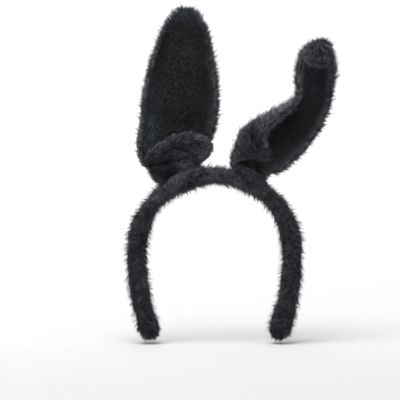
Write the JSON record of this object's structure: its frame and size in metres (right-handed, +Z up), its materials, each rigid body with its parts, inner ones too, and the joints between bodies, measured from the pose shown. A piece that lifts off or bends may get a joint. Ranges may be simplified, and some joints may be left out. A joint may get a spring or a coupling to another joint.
{
  "type": "animal ears headband",
  "caption": "Costume headband with a sprung band in a black faux-fur sleeve and a pair of long wired rabbit-style ears, one upright and one leaning out and bent.",
  "frame": {"origin": "crown point of the band's inner side, where it rests on the wearer's head", "axes": "+Z up out of the head, -Y to the wearer's front, +X to the right as seen from the front"},
  "size_m": [0.1759, 0.022, 0.2794],
  "materials": {
    "fur": "matte",
    "band_core": "satin",
    "wire": "satin",
    "thread": "matte",
    "tape": "matte"
  },
  "bodies": {
    "crown": {"crown_core": "band_core", "crown_sleeve": "fur", "crown_sleeve_seam": "thread", "left_wire_winding": "wire", "left_winding_tape": "tape", "right_wire_winding": "wire", "right_winding_tape": "tape"},
    "left_arm": {"left_arm_core": "band_core", "left_arm_sleeve": "fur", "left_arm_sleeve_seam": "thread", "left_end_stitching": "thread", "left_end_tuck": "fur"},
    "right_arm": {"right_arm_core": "band_core", "right_arm_sleeve": "fur", "right_arm_sleeve_seam": "thread", "right_end_stitching": "thread", "right_end_tuck": "fur"},
    "left_ear_lower": {"left_neck_binding": "thread", "left_ear_front_lower": "fur", "left_ear_back_lower": "fur", "left_ear_wire_lower": "wire", "left_ear_outer_seam_lower": "thread", "left_ear_inner_seam_lower": "thread"},
    "left_ear_upper": {"left_ear_front_upper": "fur", "left_ear_back_upper": "fur", "left_ear_wire_upper": "wire", "left_ear_seam_upper": "thread"},
    "right_ear_lower": {"right_neck_binding": "thread", "right_ear_front_lower": "fur", "right_ear_back_lower": "fur", "right_ear_wire_lower": "wire", "right_ear_outer_seam_lower": "thread", "right_ear_inner_seam_lower": "thread"},
    "right_ear_upper": {"right_ear_front_upper": "fur", "right_ear_back_upper": "fur", "right_ear_wire_upper": "wire", "right_ear_seam_upper": "thread"}
  },
  "joints": [
    {"name": "left_arm_flex", "type": "hinge", "parent": "crown", "child": "left_arm", "pos_m": [-0.05146, 0, -0.018], "axis": [0, 1, 0], "range_deg": [-5, 15], "stiffness_Nm_per_rad": 1},
    {"name": "right_arm_flex", "type": "hinge", "parent": "crown", "child": "right_arm", "pos_m": [0.05146, 0, -0.018], "axis": [0, -1, 0], "range_deg": [-5, 15], "stiffness_Nm_per_rad": 1},
    {"name": "left_ear_lean", "type": "hinge", "parent": "crown", "child": "left_ear_lower", "pos_m": [-0.03355, 0, 0.00765], "axis": [0, -1, 0], "range_deg": [-5, 25]},
    {"name": "left_ear_fold", "type": "hinge", "parent": "left_ear_lower", "child": "left_ear_upper", "pos_m": [-0.02899, -0.00411, 0.07264], "axis": [0.9958, 0, -0.092], "range_deg": [-30, 90]},
    {"name": "right_ear_lean", "type": "hinge", "parent": "crown", "child": "right_ear_lower", "pos_m": [0.02792, 0, 0.01022], "axis": [0, 1, 0], "range_deg": [-25, 20]},
    {"name": "right_ear_bend", "type": "hinge", "parent": "right_ear_lower", "child": "right_ear_upper", "pos_m": [0.07672, -0.005, 0.06404], "axis": [0.0236, 0.999, 0.0377], "range_deg": [-35, 40]}
  ]
}
